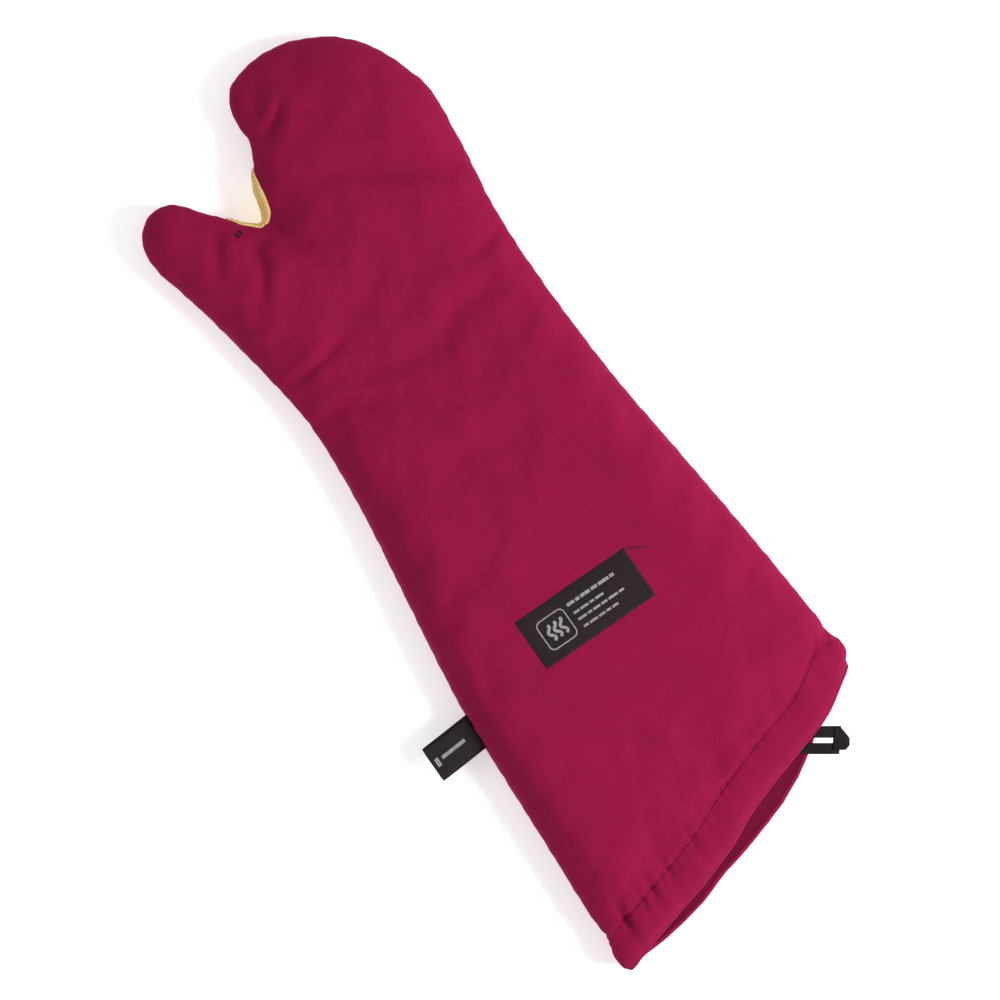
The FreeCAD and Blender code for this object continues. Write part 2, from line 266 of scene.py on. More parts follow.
def hemShape(points, edge, edgeWhere):
    # the turned hem: its roll, groove and gathers, and the step down from the sleeve to it
    depth, across = padding["hemDepth"], points[:, 0]
    groove = padding["groove"] * np.exp(-((edge - depth) / padding["grooveWide"])**2)
    step = padding["hemStep"] * (1 - smoothStep(depth - 0.2, depth + 3.4, edge))
    roll = padding["hemRoll"] * np.exp(-((edge - depth * 0.5) / padding["hemRollWide"])**2)
    roll *= smoothStep(0, 6, edge)
    # the gathers are strongest towards the thumb side
    strong = 0.45 + 0.5 * (1 - smoothStep(-60, 30, across)) + 0.6 * (1 - smoothStep(-100, -50, across))
    gathers = padding["gathers"] * strong * hemRipple(edgeWhere + edge * 0.35)
    wide = np.where(edge < depth, padding["gatherIn"], padding["gatherOut"])
    gathers *= np.exp(-((edge - depth) / wide)**2)
    return roll + gathers - groove, step


def skin(points, side):
    # the cloth's outside above (side 1) or below (side -1) each plan place, in millimetres
    points = np.asarray(points, float)
    x, y = points.T
    far, where = nearest(points, seamLine, seamWalk)
    edge, edgeWhere = nearest(points, cuffLine, cuffWalk)
    out = unit(along(seamOut, seamWalk, where))
    thumbness = smoothStep(-30, 12, (points - thumbFold) @ thumbAway) * (x < -20)
    seamZ = (padding["seamHeight"] + padding["seamWave"] * np.sin(y / padding["seamWaveLength"])
             - padding["seamTipDrop"] * smoothStep(560, 604, y))
    fade = 1 - np.exp(-(far / padding["seamFade"])**2)
    if side > 0:
        shoulder = padding["shoulder"] + (padding["thumbShoulder"] - padding["shoulder"]) * thumbness
        wrist = padding["wristDip"] * np.exp(-((y - padding["wristAt"]) / padding["wristWide"])**2)
        crown = padding["crown"] - wrist - padding["thumbDrop"] * thumbness
        crown -= (padding["tipDrop"] * smoothStep(540, 605, y)
                  + padding["cuffSink"] * np.exp(-(edge / padding["cuffSinkWide"])**2))
        power = padding["roundness"]
    else:
        shoulder, crown, power = padding["underShoulder"], -seamZ, padding["underRoundness"]
    t = np.clip(far / shoulder, 0, 1)
    height = crown * (1 - (1 - t)**power)**(1 / power)
    if side > 0:
        height += fade * sum(high * waves(points, length, seed) for high, length, seed in padding["uneven"])
        height -= fade * creaseLook(points, creases)
    else:
        lift = sum((high * waves(points, length, seed) for high, length, seed in padding["underUneven"]),
                   padding["underLift"])
        most = padding["mostUnder"]
        height += fade * (np.clip(lift, 0, most) + np.clip(creaseLook(points, underCreases), 0, most))
    hemHeight, step = hemShape(points, edge, edgeWhere)
    sign = 1 if side > 0 else -1
    height += sign * fade * (hemHeight - (step if side > 0 else padding["underHemStep"] * step))
    outWrinkle, upWrinkle = padding["seamWrinkle"]
    push = (padding["lipOut"] * (1 - np.exp(-far / 0.8)) * np.exp(-far / 7)
            - padding["seamSink"] * np.exp(-far / 1.5))
    push += outWrinkle * seamRipple(where) * np.exp(-((far - 3) / 4)**2)
    height += (sign * upWrinkle * seamRipple(where + 4) * np.exp(-((far - 7) / 6)**2)
               * smoothStep(0, 3, far))
    moved = points + out * push[:, None]
    if side < 0:
        reach = np.interp(x, lipReach["across"], lipReach["out"])
        weight = smoothStep(0, 1, 1 - edge / 110) * (1 - np.exp(-(far / 10)**2))
        moved = moved + along(cuffOut, cuffWalk, edgeWhere) * (reach * weight)[:, None]
    whole = np.column_stack([moved, seamZ + height])
    if side > 0:
        whole += settled(points)
    whole[:, 2] = np.clip(whole[:, 2], 0.0, padding["tallest"])
    return whole


# the plan mesh that every cloth layer shares
def insideLoop(points, loop):
    x, y = points[:, 0], points[:, 1]
    inside = np.zeros(len(points), bool)
    for (x1, y1), (x2, y2) in zip(loop, np.roll(loop, -1, axis=0)):
        crosses = (y1 > y) != (y2 > y)
        with np.errstate(divide="ignore", invalid="ignore"):
            inside ^= crosses & (x < (x2 - x1) * (y - y1) / (y2 - y1) + x1)
    return inside


def planMesh(grid, rings, hemRows=()):
    # triangles over the outline: rings along the seam, rows along the hem, an even grid between
    def toSeam(spots):
        return nearest(spots, seamLine, seamWalk)[0]

    loop = np.vstack([seamLine, cuffLine[1:-1]])
    loose = []
    for inset in rings:
        ring = seamLine - seamOut * inset
        loose.append(ring[toSeam(ring) > inset - 0.15])
    low, high = loop.min(0), loop.max(0)
    inner = []
    for k, y in enumerate(np.arange(low[1], high[1], grid * 0.866)):
        xs = np.arange(low[0] + (k % 2) * grid / 2, high[0], grid)
        inner.append(np.column_stack([xs, np.full(len(xs), y)]))
    inner = np.vstack(inner)
    loose.append(inner[toSeam(inner) > rings[-1] + grid * 0.6])
    loose = np.vstack(loose)
    edge = nearest(loose, cuffLine, cuffWalk)[0]
    nearHem = np.zeros(len(loose), bool)
    if hemRows:
        nearHem = (edge > hemRows[0] - 1) & (edge < hemRows[-1] + 1.2)
    loose = loose[insideLoop(loose, loop) & (edge > grid * 0.45) & ~nearHem]
    for inset in hemRows:
        row = smoothLine(cuffLine - cuffOut * inset, 2.2)
        loose = np.vstack([loose, row[insideLoop(row, loop) & (toSeam(row) > 0.5)]])
    border = [(k, (k + 1) % len(loop)) for k in range(len(loop))]
    result = delaunay_2d_cdt([Vector(p) for p in np.vstack([loop, loose])], border, [], 1, 1e-5)
    return np.array([tuple(v) for v in result[0]]), np.array(result[2])


def keepUsed(faces, count):
    # the points that faces use, and the faces renumbered to them
    used = np.unique(faces)
    back = np.full(count, -1)
    back[used] = np.arange(len(used))
    return used, back[faces]


def closedBody(plan, planFaces):
    # top and bottom sheets joined along the side seam, open at the cuff
    onSeam = nearest(plan, seamLine, seamWalk)[0] < 1e-3
    top = skin(plan, 1)
    bottom = skin(plan, -1)
    top[onSeam] = (top[onSeam] + bottom[onSeam]) / 2
    count = len(plan)
    other = np.arange(count) + count
    other[onSeam] = np.flatnonzero(onSeam)
    used, faces = keepUsed(np.vstack([planFaces, other[planFaces][:, ::-1]]), 2 * count)
    side = np.r_[np.ones(count), -np.ones(count)]
    return np.vstack([top, bottom])[used], faces, np.r_[plan, plan][used], side[used]


# the filled top panel settles by itself between its seams
settling = {
    "grid": 7.0, "rings": [2.0, 5.0], "frames": 24, "mostMove": 3.2, "spread": 5.0,
    "cloth": {"quality": 7, "mass": 0.2, "tension_stiffness": 20, "compression_stiffness": 20,
              "shear_stiffness": 8, "bending_stiffness": 0.6, "shrink_min": -0.022,
              "use_pressure": True, "uniform_pressure_force": 2.2},
}


def settleCloth():
    plan, planFaces = planMesh(settling["grid"], settling["rings"])
    verts, faces, where, side = closedBody(plan, planFaces)
    mesh = bpy.data.meshes.new("settling")
    mesh.from_pydata((verts / 1000).tolist(), [], faces.tolist())
    trial = bpy.data.objects.new("settling", mesh)
    bpy.context.scene.collection.objects.link(trial)
    far = nearest(where, seamLine, seamWalk)[0]
    edge = nearest(where, cuffLine, cuffWalk)[0]
    held = (side < 0) | (far < 0.5) | (edge < padding["hemDepth"] + 2)
    trial.vertex_groups.new(name="held").add(np.flatnonzero(held).tolist(), 1.0, "REPLACE")
    cloth = trial.modifiers.new("cloth", "CLOTH")
    for setting, value in settling["cloth"].items():
        setattr(cloth.settings, setting, value)
    cloth.settings.vertex_group_mass = "held"
    cloth.settings.effector_weights.gravity = 0
    cloth.collision_settings.use_collision = False
    cloth.point_cache.frame_start = 1
    cloth.point_cache.frame_end = settling["frames"]
    for frameNumber in range(1, settling["frames"] + 1):
        bpy.context.scene.frame_set(frameNumber)
    after = trial.evaluated_get(bpy.context.evaluated_depsgraph_get()).data
    moved = np.empty(len(after.vertices) * 3)
    after.vertices.foreach_get("co", moved)
    change = moved.reshape(-1, 3) * 1000 - verts
    bpy.data.objects.remove(trial)
    bpy.data.meshes.remove(mesh)
    bpy.context.scene.frame_set(1)
    print("cloth settled: moved up to", round(float(np.abs(change).max()), 1), "mm, mean",
          round(float(np.abs(change[~held]).mean()), 2))
    size = np.linalg.norm(change, axis=1)
    change *= np.minimum(1, settling["mostMove"] / np.maximum(size, 1e-6))[:, None]
    keepMoves(where, change, side > 0)


def keepMoves(where, change, top):
    # spread the top panel's moves over the even field that settled() reads
    field = settledCloth["field"]
    rows, columns = field.shape[:2]
    for row in range(rows):
        y = settledCloth["low"][1] + row * settledCloth["step"]
        close = top & (np.abs(where[:, 1] - y) < 4 * settling["spread"])
        if not close.any():
            continue
        x = settledCloth["low"][0] + np.arange(columns) * settledCloth["step"]
        gap = (x[:, None] - where[close, 0])**2 + (y - where[close, 1])**2
        weight = np.exp(-gap / settling["spread"]**2)
        field[row] = weight @ change[close] / np.maximum(weight.sum(1), 0.05)[:, None]


settleCloth()

bodyMesh = {"grid": 3.2, "rings": [0.45, 1.1, 2.1, 3.4, 5.1, 7.3, 10.2],
            # extra rows each side of the hem stitching
            "hemRows": [-5.6, -3.6, -2.2, -1.3, -0.6, 0, 0.6, 1.3, 2.1, 3.2, 4.8]}
hemRows = (padding["hemDepth"] + np.array(bodyMesh["hemRows"])).tolist()
planVerts, planFaces = planMesh(bodyMesh["grid"], bodyMesh["rings"], hemRows)
bodyVerts, bodyFaces, bodyPlan, bodySide = closedBody(planVerts, planFaces)
print("body mesh:", len(bodyVerts), "points", len(bodyFaces), "faces")


def vertexNormals(verts, faces):
    a, b, c = verts[faces[:, 0]], verts[faces[:, 1]], verts[faces[:, 2]]
    flat = np.cross(b - a, c - a)
    total = np.zeros_like(verts)
    for k in range(3):
        np.add.at(total, faces[:, k], flat)
    return total / np.maximum(np.linalg.norm(total, axis=1), 1e-12)[:, None]


bodyNormals = vertexNormals(bodyVerts, bodyFaces)
bodyFar = nearest(bodyPlan, seamLine, seamWalk)[0]
bodyEdge = nearest(bodyPlan, cuffLine, cuffWalk)[0]


def clothPattern(points, side):
    # where each place lies on the flat cloth, so that the weave isn't stretched down the sides
    far, where = nearest(points, seamLine, seamWalk)
    out = along(seamOut, seamWalk, where)
    sample = np.linspace(0, 1, 200)
    reach, power = padding["shoulder"], padding["roundness"]
    rise = padding["crown"] * (1 - (1 - sample)**power)**(1 / power)
    arc = np.r_[0, np.cumsum(np.hypot(np.diff(rise), np.diff(sample) * reach))]
    extra = (arc[-1] - arc) - (reach - sample * reach)
    spread = np.interp(np.clip(far / reach, 0, 1), sample, extra)
    flat = points + out * spread[:, None]
    flat[side < 0] += (400, 0)      # the underside is cut from beside the top
    return flat / 1000


bodyPattern = clothPattern(bodyPlan, bodySide)


def makePiece(name, verts, faces, pattern=None, normals=None, wear=None):
    # verts in plan millimetres with height
    mesh = bpy.data.meshes.new(name)
    mesh.from_pydata(toFrame(verts).tolist(), [], [tuple(int(i) for i in f) for f in faces])
    mesh.validate()
    if pattern is not None:
        layer = mesh.uv_layers.new(name="cloth")
        corners = np.empty(len(mesh.loops), dtype=np.int32)
        mesh.loops.foreach_get("vertex_index", corners)
        layer.data.foreach_set("uv", np.asarray(pattern, np.float32)[corners].ravel())
    if wear is not None:
        mark = mesh.attributes.new("wear", "FLOAT", "POINT")
        mark.data.foreach_set("value", np.asarray(wear, np.float32))
    mesh.polygons.foreach_set("use_smooth", np.ones(len(mesh.polygons), bool))
    if normals is not None:
        mesh.normals_split_custom_set_from_vertices(normals.tolist())
    piece = bpy.data.objects.new(name, mesh)
    bpy.context.scene.collection.objects.link(piece)
    return piece


def fromHex(code):
    channels = [int(code[k:k + 2], 16) / 255 for k in (0, 2, 4)]
    return tuple(c / 12.92 if c <= 0.04045 else ((c + 0.055) / 1.055)**2.4 for c in channels)


# what a cloth has unless its own line says otherwise; angles in degrees, sizes in metres
plainCloth = {
    "angle": 0, "crossing": 90, "wander": 0.6, "crossWander": 0.4, "weaveTone": 0.35, "uv": True,
    "fleck": 0.0011, "fleckTone": 0.45, "blotch": 0.035, "blotchTone": 0.7, "scuff": 0.004,
    "shine": 0.25, "sheen": 0.3, "relief": 0.00022, "fuzz": 0.8, "fuzzSize": 0.0016, "crumple": 0.011,
}


def shaderFor(name, look):
    # woven cloth: two crossing thread directions, melange colour, wear that lightens the high places
    look = {**plainCloth, **look}
    dark, light = fromHex(look["dark"]), fromHex(look["light"])
    wornTo = fromHex(look.get("worn", look["light"]))
    material = bpy.data.materials.new(name)
    material.use_nodes = True
    nodes, links = material.node_tree.nodes, material.node_tree.links
    shader = nodes["Principled BSDF"]
    shader.inputs["Roughness"].default_value = look["rough"]
    shader.inputs["Specular IOR Level"].default_value = look["shine"]
    shader.inputs["Sheen Weight"].default_value = look["sheen"]
    shader.inputs["Sheen Roughness"].default_value = 0.45
    shader.inputs["Sheen Tint"].default_value = (*light, 1)
    if look["uv"]:
        place = nodes.new("ShaderNodeUVMap")
        place.uv_map = "cloth"
        spot = place.outputs[0]
    else:
        spot = nodes.new("ShaderNodeTexCoord").outputs["Object"]

    def combine(kind, a, b):
        node = nodes.new("ShaderNodeMath")
        node.operation = kind
        for socket, value in zip(node.inputs, (a, b)):
            if hasattr(value, "links"):
                links.new(value, socket)
            else:
                socket.default_value = value
        return node.outputs[0]

    def threads(angle, distortion):
        turn = nodes.new("ShaderNodeMapping")
        turn.inputs["Rotation"].default_value = (0, 0, math.radians(angle))
        links.new(spot, turn.inputs["Vector"])
        wave = nodes.new("ShaderNodeTexWave")
        wave.inputs["Scale"].default_value = 0.314 / look["pitch"]      # bands a pitch apart
        wave.inputs["Distortion"].default_value = distortion
        wave.inputs["Detail"].default_value = 1
        wave.inputs["Detail Scale"].default_value = 1.2
        links.new(turn.outputs[0], wave.inputs["Vector"])
        return wave.outputs["Fac"]

    def cloud(size, detail):
        noise = nodes.new("ShaderNodeTexNoise")
        noise.inputs["Scale"].default_value = 1 / size
        noise.inputs["Detail"].default_value = detail
        links.new(spot, noise.inputs["Vector"])
        return noise.outputs["Fac"]

    def bumpOf(height, strength, distance):
        bump = nodes.new("ShaderNodeBump")
        bump.inputs["Strength"].default_value = strength
        bump.inputs["Distance"].default_value = distance
        links.new(height, bump.inputs["Height"])
        return bump

    rib = threads(look["angle"], look["wander"])
    cross = threads(look["angle"] + look["crossing"], look["crossWander"])
    weave = combine("MULTIPLY", combine("ADD", rib, cross), 0.5)
    flecks = combine("MULTIPLY", cloud(look["fleck"], 3), look["fleckTone"])
    blotch = combine("SUBTRACT", cloud(look["blotch"], 4), 0.5)
    tone = combine("ADD", combine("MULTIPLY", weave, look["weaveTone"]), flecks)
    tone = combine("ADD", tone, combine("MULTIPLY", blotch, look["blotchTone"]))
    ramp = nodes.new("ShaderNodeValToRGB")
    for element, position, colour in zip(ramp.color_ramp.elements, (0.12, 0.78), (dark, light)):
        element.position = position
        element.color = (*colour, 1)
    links.new(tone, ramp.inputs["Fac"])
    worn = nodes.new("ShaderNodeAttribute")
    worn.attribute_name = "wear"
    scuff = nodes.new("ShaderNodeMix")
    scuff.data_type = "RGBA"
    scuff.inputs[7].default_value = (*wornTo, 1)
    links.new(ramp.outputs["Color"], scuff.inputs[6])
    scuffed = combine("ADD", cloud(look["scuff"], 3), 0.15)
    links.new(combine("MULTIPLY", worn.outputs["Fac"], scuffed), scuff.inputs["Factor"])
    links.new(scuff.outputs[2], shader.inputs["Base Color"])
    fuzz = combine("MULTIPLY", cloud(look["fuzzSize"], 5), look["fuzz"])
    fine = bumpOf(combine("ADD", weave, fuzz), 0.6, look["relief"])
    soft = bumpOf(cloud(look["crumple"], 3), 0.35, 0.0012)
    links.new(soft.outputs["Normal"], fine.inputs["Normal"])
    links.new(fine.outputs["Normal"], shader.inputs["Normal"])
    return material


thread = {"rough": 0.6, "angle": 30, "pitch": 0.0004, "uv": False}     # what every sewing thread shares
cloths = {
    "shell": {"dark": "7a1036", "light": "a8184a", "worn": "b02c58", "rough": 0.9, "angle": 27,
              "pitch": 0.0009, "wander": 2.2, "sheen": 0.06, "shine": 0.07, "blotchTone": 0.25,
              "weaveTone": 0.16, "relief": 0.00016},
    # the hem's inside face: the shell cloth again, painted darker as painted shade inside the mouth
    "shadedFacing": {"dark": "520a26", "light": "7a1038", "worn": "8c1a45", "rough": 0.9, "angle": 38,
               "pitch": 0.0010, "crossing": 52, "sheen": 0.05, "shine": 0.05},
    "lining": {"dark": "3f0d1f", "light": "6d1f3a", "rough": 0.95, "pitch": 0.0009, "fuzz": 1.6,
               "relief": 0.0004, "sheen": 0.5},
    "felt": {"dark": "9c978a", "light": "cfc9ba", "rough": 0.95, "angle": 15, "pitch": 0.004,
             "fuzz": 2.0, "relief": 0.0006, "weaveTone": 0.08},
    "film": {"dark": "a9adb2", "light": "cfd3d8", "rough": 0.45, "pitch": 0.0006, "fuzz": 0.2,
             "sheen": 0.0, "shine": 0.5},
    "guard": {"dark": "d3a954", "light": "fbe2a0", "rough": 0.8, "pitch": 0.0013, "relief": 0.0004,
              "sheen": 0.1, "shine": 0.1, "blotch": 0.01},
    "label": {"dark": "171114", "light": "352a2e", "rough": 0.7, "pitch": 0.0005, "relief": 0.00008,
              "sheen": 0.04, "shine": 0.1, "blotchTone": 0.2},
    "tag": {"dark": "171214", "light": "352b2f", "rough": 0.5, "pitch": 0.0006, "relief": 0.0001,
            "sheen": 0.04, "shine": 0.15, "blotchTone": 0.2},
    "loop": {"dark": "0f0b10", "light": "2c2427", "rough": 0.65, "angle": 45, "pitch": 0.0012,
             "crossing": 0, "relief": 0.0003, "sheen": 0.05, "shine": 0.1, "blotchTone": 0.2},
    "print": {"dark": "6f696d", "light": "b5afb3", "rough": 0.65, "pitch": 0.0004, "relief": 0.00008,
              "sheen": 0.05, "shine": 0.1, "blotchTone": 0.8, "blotch": 0.002},
    "shellThread": {**thread, "dark": "6f0a2e", "light": "c42a60"},
    "guardThread": {**thread, "dark": "9c7430", "light": "d9b060"},
    "tackThread": {**thread, "dark": "22060f", "light": "4a1224", "sheen": 0.2},
    "blackThread": {**thread, "dark": "181315", "light": "3b3235", "rough": 0.55, "sheen": 0.2},
}
materials = {name: shaderFor(name, look) for name, look in cloths.items()}


def dress(piece, cloth, bodies, nodes=()):
    # material, the body it moves with when one is named (a bend's stretch is not used and the piece stays where it
    # is), and the CAD nodes that it stands for
    piece.data.materials.append(materials[cloth])
    if isinstance(bodies, str):
        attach(piece, bodies)
    else:
        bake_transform(piece)
    if nodes:
        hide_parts(*nodes)
    return piece


def bendBetween(child, joint, away, before, after):
    # the stretch of cloth round a fold joint, from before the joint to after it, in plan millimetres
    place = np.array(foldJoints[joint]["pos_m"])
    step = np.r_[away, 0.0] / 1000
    return ("sleeve", child, tuple(place - step * before), tuple(place + step * after))


# half the stretch round each fold, and the bottom of the crotch
bend = {"fingerHalf": 26.0, "thumbHalf": 13.0, "crotch": (-37.0, 514.5)}
fingerBend = bendBetween("finger_pocket", "finger_fold", fingerAway, bend["fingerHalf"], bend["fingerHalf"])
thumbBend = bendBetween("thumb_pocket", "thumb_fold", thumbAway, bend["thumbHalf"], bend["thumbHalf"])
crotch = np.array(bend["crotch"])


def inThumb(points):
    # beyond the line from the crotch down to the thumb's root
    return ((points - crotch) @ thumbAway > 0) & ((points - crotch) @ thumbAxis < 3)


layers = [
    # piece, cloth, slot, how deep under the outside, bare band at the cuff
    ("shell", "shell", "shell_cloth", 0.0, 0.0),
    ("barrier", "film", "barrier_film", 1.6, 9.0),
    ("padding", "felt", "padding_felt", 2.6, 9.0),
    ("lining", "lining", "lining_cloth", 7.0, 17.0),
]


def takeFaces(name, verts, keep, wear):
    used, faces = keepUsed(bodyFaces[keep], len(verts))
    return makePiece(name, verts[used], faces, bodyPattern[used], bodyNormals[used], wear[used])


def layerNodes(layer, regions):
    return ["%s_%s_%s" % (layer, side, region) for side in ("top", "bottom") for region in regions]


faceEdge = bodyEdge[bodyFaces].mean(1)
thumbFaces = inThumb(bodyPlan[bodyFaces].mean(1))
edgeWear = 0.5 * np.exp(-(bodyFar / 3.0)**2) + 0.5 * np.exp(-(bodyEdge / 3.0)**2)
for layer, cloth, slotName, depth, bare in layers:
    verts = bodyVerts - bodyNormals * depth
    shown = faceEdge > bare
    main = takeFaces(layer + "Main", verts, shown & ~thumbFaces, edgeWear)
    thumb = takeFaces(layer + "Thumb", verts, shown & thumbFaces, edgeWear)
    dress(main, cloth, fingerBend, layerNodes(layer, ("sleeve", "fingers")))
    dress(thumb, cloth, thumbBend, layerNodes(layer, ("thumb",)))
print("cloth layers made")

# turned hem: folds in at the cuff's edge and faces the mouth
hem = {"edgeRound": 2.1, "edgeRows": 9, "faceDepth": 27.0, "faceRows": 11, "edgeDeep": 4.2,
       "innerDeep": 7.8, "raw": 1.6, "upSleeve": (-0.30, 0.954, 0.0), "faceAhead": (-0.01, 1.0, 0.0), "rowApart": 2.6}


def edgeLoop():
    # body vertices round the mouth, in order
    edges = {}
    for face in bodyFaces:
        for a, b in ((face[0], face[1]), (face[1], face[2]), (face[2], face[0])):
            key = (min(a, b), max(a, b))
            edges[key] = edges.get(key, 0) + 1
    nextTo = {}
    for (a, b), count in edges.items():
        if count == 1:
            nextTo.setdefault(a, []).append(b)
            nextTo.setdefault(b, []).append(a)
    first = next(iter(nextTo))
    loop = [first]
    before, here = None, first
    while True:
        onward = [v for v in nextTo[here] if v != before][0]
        if onward == first:
            return loop
        loop.append(onward)
        before, here = here, onward


mouth = np.array(edgeLoop())
mouthSpot = bodyVerts[mouth]
mouthNormal = bodyNormals[mouth]
def hemRing():
    # rows of points round the mouth: over the edge, then down the facing, then its raw edge
    rows = []
    upSleeve, faceAhead = np.array(hem["upSleeve"]), np.array(hem["faceAhead"])
    deep = hem["edgeDeep"]
    for turn in (math.pi * step / (hem["edgeRows"] - 1) for step in range(hem["edgeRows"])):
        rows.append(mouthSpot - mouthNormal * deep / 2 * (1 - math.cos(turn))
                    - upSleeve * hem["edgeRound"] * math.sin(turn))
    for step in range(1, hem["faceRows"] + 1):
        reach = hem["faceDepth"] * step / hem["faceRows"]
        inward = deep + (hem["innerDeep"] - deep) * float(smoothStep(0, 14, reach))
        rows.append(mouthSpot - mouthNormal * inward + faceAhead * reach)
    rows.append(rows[-1] + mouthNormal * hem["raw"] + np.array([0, 0.8, 0]))
    return rows


def tubeFaces(rows, columns):
    # a closed tube: its side, then a face over each end
    last = (rows - 1) * columns
    return (gridFaces(rows, columns, True)
            + [tuple(range(columns - 1, -1, -1)), tuple(range(last, last + columns))])


def gridFaces(rows, columns, closed):
    faces = []
    for r in range(rows - 1):
        for c in range(columns if closed else columns - 1):
            d = (c + 1) % columns
            faces.append((r * columns + c, r * columns + d, (r + 1) * columns + d, (r + 1) * columns + c))
    return faces


def hemPiece(name, cloth, rows, wear):
    # one band of the ring; wear has a value for each row
    first, around = rows.start, len(mouth)
    walk = walkAlong(mouthSpot)
    pattern = [np.column_stack([walk, np.full(around, k * hem["rowApart"])]) for k in rows]
    piece = makePiece(name, np.vstack([ringRows[k] for k in rows]), gridFaces(len(rows), around, True),
                      np.vstack(pattern) / 1000, None, np.repeat(wear[first:first + len(rows)], around))
    dress(piece, cloth, "sleeve", ["hem_top", "hem_bottom"])


ringRows = hemRing()
ringWear = np.where(np.isin(np.arange(len(ringRows)), (2, 3, 4, 5)), 0.45, 0.1)
hemPiece("hemEdge", "shell", range(hem["edgeRows"]), ringWear)
# the hem's inside takes the darker cloth: painted shade inside the mouth
hemPiece("hemFacing", "shadedFacing", range(hem["edgeRows"] - 1, len(ringRows)), ringWear)
print("hem made")


# single stitches: each rises out of the cloth and goes back in, thickest in its middle
stitchForm = {"sides": 6, "arch": [-0.75, 0.1, 0.62, 0.62, 0.1, -0.75],
              "fat": [0.55, 0.95, 1.0, 1.0, 0.95, 0.55]}


def stitchRow(name, paths, stitch):
    # paths hold 3D places and the cloth's outward directions there
    verts, faces = [], []
    sides, rings = stitchForm["sides"], len(stitchForm["arch"])
    for places, outward in paths:
        walk = walkAlong(places)
        whole = walk[-1]
        count = max(1, int(whole / (stitch["length"] + stitch["gap"])))
        pace = whole / count
        for k in range(count):
            spots = k * pace + stitch["gap"] / 2 + np.linspace(0, pace - stitch["gap"], rings)
            up = unit(along(outward, walk, spots))
            arch = np.array(stitchForm["arch"]) * stitch["thick"]
            centre = along(places, walk, spots) + up * arch[:, None]
            side = unit(np.cross(unit(np.gradient(centre, axis=0)), up))
            base = len(verts)
            fat = np.array(stitchForm["fat"]) * stitch["thick"]
            for j in range(rings):
                for turn in range(sides):
                    angle = turn * math.pi / 3
                    verts.append(centre[j] + (side[j] * math.cos(angle) + up[j] * math.sin(angle)) * fat[j])
            faces += [tuple(base + v for v in face) for face in tubeFaces(rings, sides)]
    return makePiece(name, np.array(verts), faces)


def skinNormals(points, side, step=0.6):
    # outward directions of the cloth at plan places away from the seam
    dx, dy = np.array([step, 0]), np.array([0, step])
    a = skin(points + dx, side) - skin(points - dx, side)
    b = skin(points + dy, side) - skin(points - dy, side)
    n = np.cross(a, b)
    n *= np.sign(n[:, 2:]) * side
    return unit(n)


def hemPath(side):
    line = smoothLine(cuffLine - cuffOut * padding["hemDepth"], 2.0)
    gap = nearest(line, seamLine, seamWalk)[0]
    line = line[insideLoop(line, np.vstack([seamLine, cuffLine[1:-1]])) & (gap > 1.2)]
    return skin(line, side), skinNormals(line, side)


hemStitch = {"length": 3.1, "gap": 0.7, "thick": 0.34}
hemThread = stitchRow("hemStitching", [hemPath(1), hemPath(-1)], hemStitch)
dress(hemThread, "shellThread", "sleeve", ["hem_thread"])


# guard over the crotch, in two halves that meet at its bottom
guard = {"from": (-53.5, 530.5), "to": (-22.3, 546.0), "above": 6.8, "thumbAbove": 3.0, "below": 10.0,
         "endWidth": 0.8, "stand": 0.9, "ripple": 0.12, "rows": 17, "columns": 40,
         "stitch": {"length": 2.4, "gap": 0.6, "thick": 0.27}}


def guardHalf(name, lowAt, highAt):
    # a strip over the seam between two places along it, standing a little off the cloth
    places = np.linspace(lowAt, highAt, guard["columns"])
    whole = guardTo - guardFrom
    middle = (guardTo + guardFrom) / 2
    line, out = along(seamLine, seamWalk, places), unit(along(seamOut, seamWalk, places))
    ends = np.clip(1 - (np.abs(places - middle) / (whole / 2))**3, 0, 1)
    widen = smoothStep(-6, 6, places - crotchWhere)
    above = guard["thumbAbove"] + (guard["above"] - guard["thumbAbove"]) * widen
    centre = guard["rows"] // 2
    rows = []
    for t in np.linspace(-1, 1, guard["rows"]):
        width = guard["endWidth"] + ((above if t > 0 else guard["below"]) - guard["endWidth"]) * ends
        inset = np.maximum(np.abs(t) ** 1.5 * width, 0.02)
        rows.append(skin(line - out * inset[:, None], 1 if t >= 0 else -1))
    rows[centre] = (skin(line, 1) + skin(line, -1)) / 2
    sheet = np.array(rows)
    n = unit(np.cross(np.gradient(sheet, axis=1), np.gradient(sheet, axis=0)))
    if (n[centre, :, :2] * out).sum() < 0:
        n = -n
    across = 1 - np.abs(np.linspace(-1, 1, guard["rows"]))**6
    lengthwise = np.clip((whole / 2 - np.abs(places - middle)) / 1.6, 0, 1)**0.5
    stand = guard["stand"] * (0.12 + 0.88 * across[:, None] * lengthwise[None])
    stand = stand + guard["ripple"] * np.sin(places / 1.9)[None] * across[:, None]
    raised = sheet + n * stand[..., None]
    pattern = np.stack(np.meshgrid(places, np.linspace(-8, 8, guard["rows"])), axis=2).reshape(-1, 2) / 1000
    faces = [face[::-1] for face in gridFaces(guard["rows"], len(places), False)]
    piece = makePiece(name, raised.reshape(-1, 3), faces, pattern, None, np.full(raised.size // 3, 0.25))
    edges = [(raised[row], n[row]) for row in (2, guard["rows"] - 3)]
    return piece, stitchRow(name + "Stitching", edges, guard["stitch"])


crotchWhere, guardFrom, guardTo = (nearest(np.array([spot]), seamLine, seamWalk)[1][0]
                                   for spot in (crotch, guard["from"], guard["to"]))
for name, low, high, bendTo in (("guardThumbSide", guardFrom, crotchWhere, thumbBend),
                                ("guardFingerSide", crotchWhere, guardTo, fingerBend)):
    piece, stitching = guardHalf(name, low, high)
    dress(piece, "guard", bendTo, ["web_guard"])
    dress(stitching, "guardThread", bendTo)

